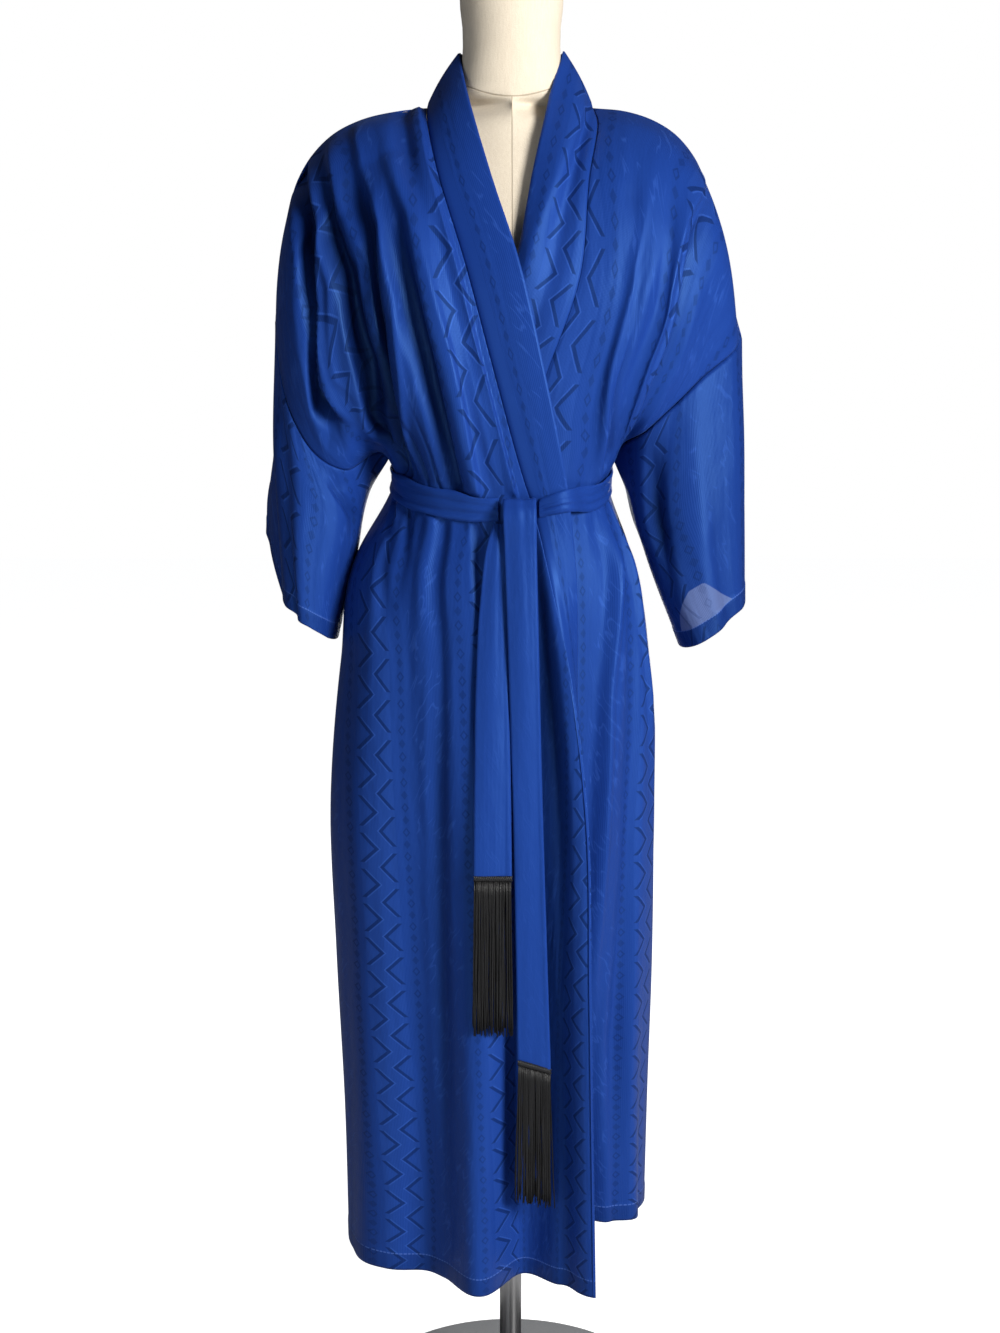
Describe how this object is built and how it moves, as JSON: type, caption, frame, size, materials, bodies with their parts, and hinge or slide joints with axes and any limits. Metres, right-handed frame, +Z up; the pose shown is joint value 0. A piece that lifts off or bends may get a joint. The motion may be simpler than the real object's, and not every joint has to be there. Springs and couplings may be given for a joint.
{
  "type": "kimono robe on dress form",
  "caption": "Full-length kimono robe with wide drop-shoulder sleeves, a collar band and a tied sash with fringed ends, worn by a limbless dress form on a pole stand.",
  "frame": {"origin": "middle of the stand base's underside", "axes": "+X to the viewer's right as the robe is looked at from the front, +Y to its back, +Z up"},
  "size_m": [0.5254, 0.3412, 1.6],
  "materials": {
    "robe_cloth": "satin",
    "fringe_black": "matte",
    "form_linen": "matte",
    "pole_steel": "brushed",
    "base_paint": "satin"
  },
  "bodies": {
    "root": {"back": "robe_cloth", "front_right": "robe_cloth", "front_left": "robe_cloth", "sleeve_right": "robe_cloth", "sleeve_left": "robe_cloth", "collar_right": "robe_cloth", "collar_left": "robe_cloth", "sash_band": "robe_cloth", "sash_knot": "robe_cloth", "sash_tail_short": "robe_cloth", "sash_tail_long": "robe_cloth", "fringe_short": "fringe_black", "fringe_long": "fringe_black", "dress_form": "form_linen", "stand_pole": "pole_steel", "stand_base": "base_paint"}
  },
  "joints": []
}
